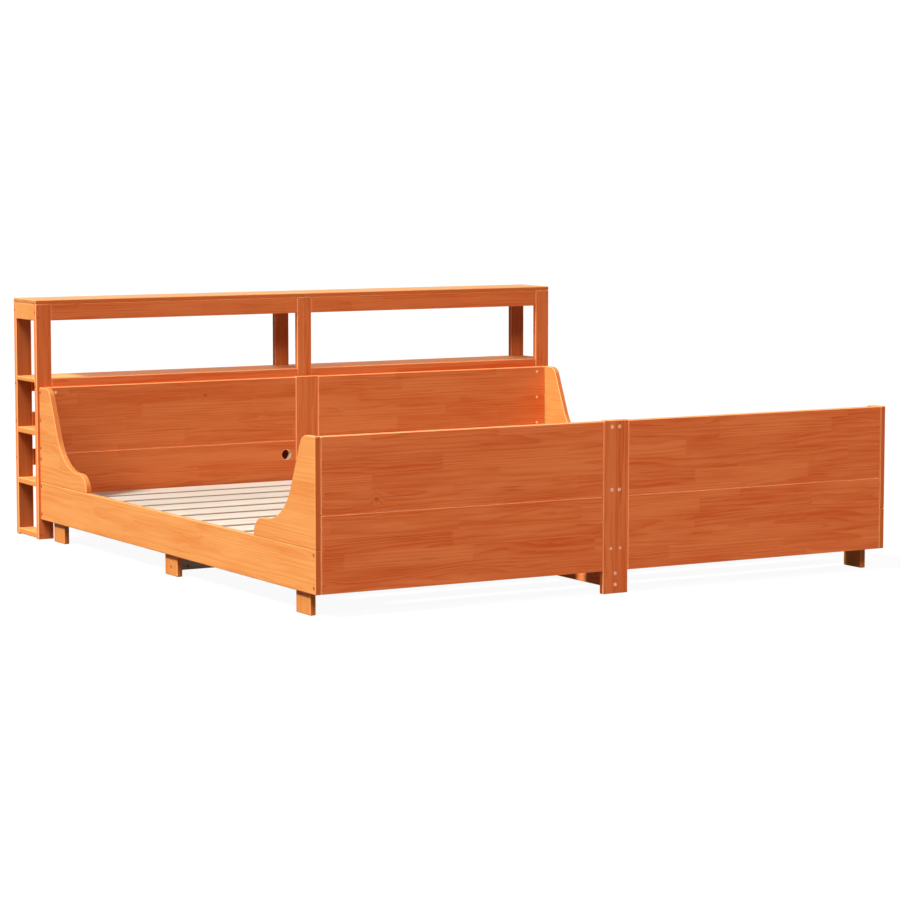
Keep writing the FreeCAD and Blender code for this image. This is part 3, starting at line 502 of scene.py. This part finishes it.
nuts += [((s * STRETCHER_X, SIDE_Y, z), (0, 1, 0), BROWN_AND_SHADE) for s in ENDS for z in STRETCHER_BOLTS]
slotted_nuts = turned("slotted_nuts", nut_rings, nuts)
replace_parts(slotted_nuts, "barrel_nuts")

# Cams: discs in the centre posts that a cross driver turns, and the rods that they draw out of the
# boards' ends. Cast zinc discs with a warm plating, steel rods.


def cross(radius, half_width, angles):
    """Two slots at right angles: the larger of their two radii at each angle."""
    return np.maximum(slot(radius, half_width, angles), slot(radius, half_width, angles + np.pi / 2))


cam_rings = [
    (cross(3.2, 0.7, around), 2.4), (cross(3.8, 0.9, around), 0.0), (5.3 * ring, 0.0), (6.0 * ring, 0.6),
    (6.0 * ring, 12.5), (5.5 * ring, 13.0),
]
CAM_X = 13.0
CAM_HEIGHTS = (317.5, 509.5)
cams = [((s * CAM_X, FRONT_Y, z), (0, 1, 0), WARM) for s in ENDS for z in CAM_HEIGHTS]
cams += [((s * CAM_X, HEAD_Y, z), (0, -1, 0), WARM) for s in ENDS for z in CAM_HEIGHTS]
cross_cams = turned("cross_cams", cam_rings, cams)
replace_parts(cross_cams, "cam_fittings")
rod_rings = [(2.4 * ring, 0.0), (3.0 * ring, 0.6), (3.0 * ring, 66.0), (2.2 * ring, 67.0)]
rods = [
    ((s * CAM_X, y, z), (s, 0, 0), BROWN_AND_SHADE)
    for s in ENDS for y in (FOOT_END, HEAD_END) for z in CAM_HEIGHTS
]
turned("cam_rods", rod_rings, rods)

# Wood screws: countersunk heads flush with the faces, a cross recess for the driver and a point.
# Hardened steel; warm zinc in the bed frame, browned to match the stain in the bookcase.
around = turns(16)
ring = np.ones(16)


def wood_screw(length):
    """Rings of a screw: cross recess, flat head, cone, shank and point."""
    return [
        (cross(1.1, 0.35, around), 1.7), (cross(2.4, 0.6, around), 0.0), (4.1 * ring, 0.0),
        (4.2 * ring, 0.2), (2.0 * ring, 3.0), (2.0 * ring, length - 5.0), (0.3 * ring, length),
    ]


PITCH = 17.0
BEARER_Z = 139.0
bearer_screws = [
    ((x, y, BEARER_Z), (0, turn, 0), WARM)
    for x in (-PITCH, PITCH) for y, turn in ((FRONT_Y, 1), (HEAD_Y, -1))
]
BACK_Y = 1127.5
CASE_FACES = ((HEAD_Y, 1), (BACK_Y, -1))
CROSS_RAIL_X, POST_X, LINK_X = 1027.0, 1008.5, 991.5
SHELF_HEIGHTS = (369.5, 191.5, 13.5)
case_screws = [
    ((x, y, TOP_RAIL_Z + step), (0, turn, 0), BROWN_AND_SHADE)
    for y, turn in CASE_FACES for x in (-CROSS_RAIL_X, 0.0, CROSS_RAIL_X) for step in (-PITCH, PITCH)
]
case_screws += [
    ((x + step, y, z), (0, turn, 0), BROWN_AND_SHADE)
    for y, turn in CASE_FACES for x in (-POST_X, 0.0, POST_X) for step in (-PITCH, PITCH)
    for z in SHELF_HEIGHTS
]
POST_BACK, LINK_HEIGHTS = 947.5, (232.5, 461.5)
link_screws = [
    ((x, POST_BACK, z), (0, -1, 0), BROWN_AND_SHADE)
    for x in (-LINK_X, 0.0, LINK_X) for z in LINK_HEIGHTS
]
FOOT_Y, FOOT_Z = (-1012.5, MIDDLE_Y, 812.5), 92.0
foot_screws = [
    ((s * FOOT_X, y + step, FOOT_Z), (s, 0, 0), WARM)
    for s in ENDS for y in FOOT_Y for step in (-2 * PITCH, 2 * PITCH)
]
LEG_X, LEG_Y, LEG_Z = 29.0, (-450.0, 250.0), 44.5
leg_screws = [((LEG_X, y, LEG_Z + step), (-1, 0, 0), WARM) for y in LEG_Y for step in (-PITCH, PITCH)]
LEDGER_X, LEDGER_Z = 988.5, 131.5
LEDGER_Y = -940.42 + 336.1667 * np.arange(6)
ledger_screws = [((s * LEDGER_X, y, LEDGER_Z), (s, 0, 0), WARM) for s in ENDS for y in LEDGER_Y]
SCREWS = {
    "bearer_screws": (59.0, bearer_screws),
    "case_screws": (60.0, case_screws),
    "link_screws": (34.0, link_screws),
    "foot_screws": (33.0, foot_screws),
    "leg_screws": (33.0, leg_screws),
    "ledger_screws": (34.0, ledger_screws),
}
for name, (length, screws) in SCREWS.items():
    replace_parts(turned(name, wood_screw(length), screws), "wood_screws")

# Dowels: plain round pins glued across the joints, out of sight once the bed is together.
# Beech, left bare.
BEECH = {
    "early": (0.7, 0.5, 0.3, 1),
    "late": (0.5, 0.32, 0.17, 1),
    "resin": (0.3, 0.16, 0.07, 1),
    "arris": (0.7, 0.5, 0.3, 1),
    "rough": 0.6,
}
dowel_beech = pine("dowel_beech", "xyz", 0.0, BEECH, (0.03, 0.2), 107.0)
finish_with(dowel_beech, "wooden_dowels")

# Floor: a wide sheet on the ground that keeps a faint shadow of the bed.
# Matt white to the eye, and nearly paper white; it throws only a little warm light back at the bed.


def sheet(name, half, height):
    """A square sheet: x and y from -half to half on a coarse grid, at one height."""
    cells = 8
    row = cells + 1
    line = np.linspace(-half, half, row)
    x, y = np.meshgrid(line, line)
    points = np.stack([x, y, np.full_like(x, height)], -1).reshape(-1, 3)
    corner = (np.arange(cells)[:, None] * row + np.arange(cells)).ravel()
    faces = np.stack([corner, corner + 1, corner + row + 1, corner + row], -1)
    mesh = bpy.data.meshes.new(name)
    mesh.from_pydata(points.tolist(), [], faces.tolist())
    thing = bpy.data.objects.new(name, mesh)
    bpy.context.scene.collection.objects.link(thing)
    return thing


floor = sheet("floor", half=40.0, height=-0.0004)
ground = bpy.data.materials.new("white_floor")
ground.use_nodes = True
ground.node_tree.nodes.clear()
tree = ground.node_tree
paper = join(tree, "ShaderNodeEmission", {"Color": (1, 1, 1, 1), "Strength": 1.0})[0]
white = join(tree, "ShaderNodeBsdfDiffuse", {"Color": (0.9, 0.9, 0.9, 1)})[0]
grey = join(tree, "ShaderNodeBsdfDiffuse", {"Color": (0.2, 0.13, 0.12, 1)})[0]
white = join(tree, "ShaderNodeMixShader", {0: 0.94, 1: white, 2: paper})[0]
grey = join(tree, "ShaderNodeMixShader", {0: 0.06, 1: grey, 2: paper})[0]
seen = join(tree, "ShaderNodeLightPath")["Is Camera Ray"]
surface = join(tree, "ShaderNodeMixShader", {0: seen, 1: grey, 2: white})[0]
join(tree, "ShaderNodeOutputMaterial", {0: surface})
floor.data.materials.append(ground)

# Light: a strong sun high on the left, a warm one from the front left, a weak one from behind and a
# low one that reaches only the right side, under an even sky that is white to the eye.
world = bpy.data.worlds.new("studio")
bpy.context.scene.world = world
world.use_nodes = True
world.node_tree.nodes.clear()
tree = world.node_tree
path = join(tree, "ShaderNodeLightPath")
plain = sums(tree, "MAXIMUM", path["Is Glossy Ray"], path["Is Transmission Ray"])
plain = sums(tree, "MAXIMUM", path["Is Camera Ray"], plain)
sky = join(tree, "ShaderNodeBackground", {"Color": (1.0, 0.82, 0.76, 1), "Strength": 0.08})[0]
white = join(tree, "ShaderNodeBackground", {"Color": (1, 1, 1, 1), "Strength": 1.0})[0]
surface = join(tree, "ShaderNodeMixShader", {0: plain, 1: sky, 2: white})[0]
join(tree, "ShaderNodeOutputWorld", {0: surface})


def sun(name, energy, colour, spread, turn):
    """A sun lamp: turn is its Euler angles and spread its width in the sky, both in degrees."""
    lamp = bpy.data.lights.new(name, "SUN")
    lamp.energy = energy
    lamp.color = colour
    lamp.angle = math.radians(spread)
    thing = bpy.data.objects.new(name, lamp)
    thing.rotation_euler = [math.radians(angle) for angle in turn]
    bpy.context.scene.collection.objects.link(thing)


sun("key_sun", 5.7, (1.0, 1.0, 0.97), 10, (1, -43.5, 0))
sun("front_sun", 1.85, (1.0, 0.73, 0.69), 16, (48, -26, 0))
sun("back_sun", 1.1, (1.0, 0.86, 0.8), 20, (-50, 18, 0))
sun("right_sun", 2.2, (1.0, 0.95, 0.92), 6, (-8, 86, 0))

# Camera: a long lens a little above the bed, off its left foot corner.
# It looks to the right along the bed and slightly down.
FOCAL_PIXELS, PICTURE_PIXELS = 3019.07, 900
SENSOR = 36.0
LOOK_DOWN, LOOK_RIGHT = 5.748, 30.027
eye = bpy.data.objects.new("camera", bpy.data.cameras.new("camera"))
eye.data.sensor_width = SENSOR
eye.data.lens = FOCAL_PIXELS / PICTURE_PIXELS * SENSOR
eye.data.clip_end = 200.0
eye.location = (-4.9899, -8.7557, 1.3548)
eye.rotation_euler = (math.radians(90 - LOOK_DOWN), 0, math.radians(-LOOK_RIGHT))
bpy.context.scene.collection.objects.link(eye)
bpy.context.scene.camera = eye
bpy.context.scene.view_settings.view_transform = "Standard"
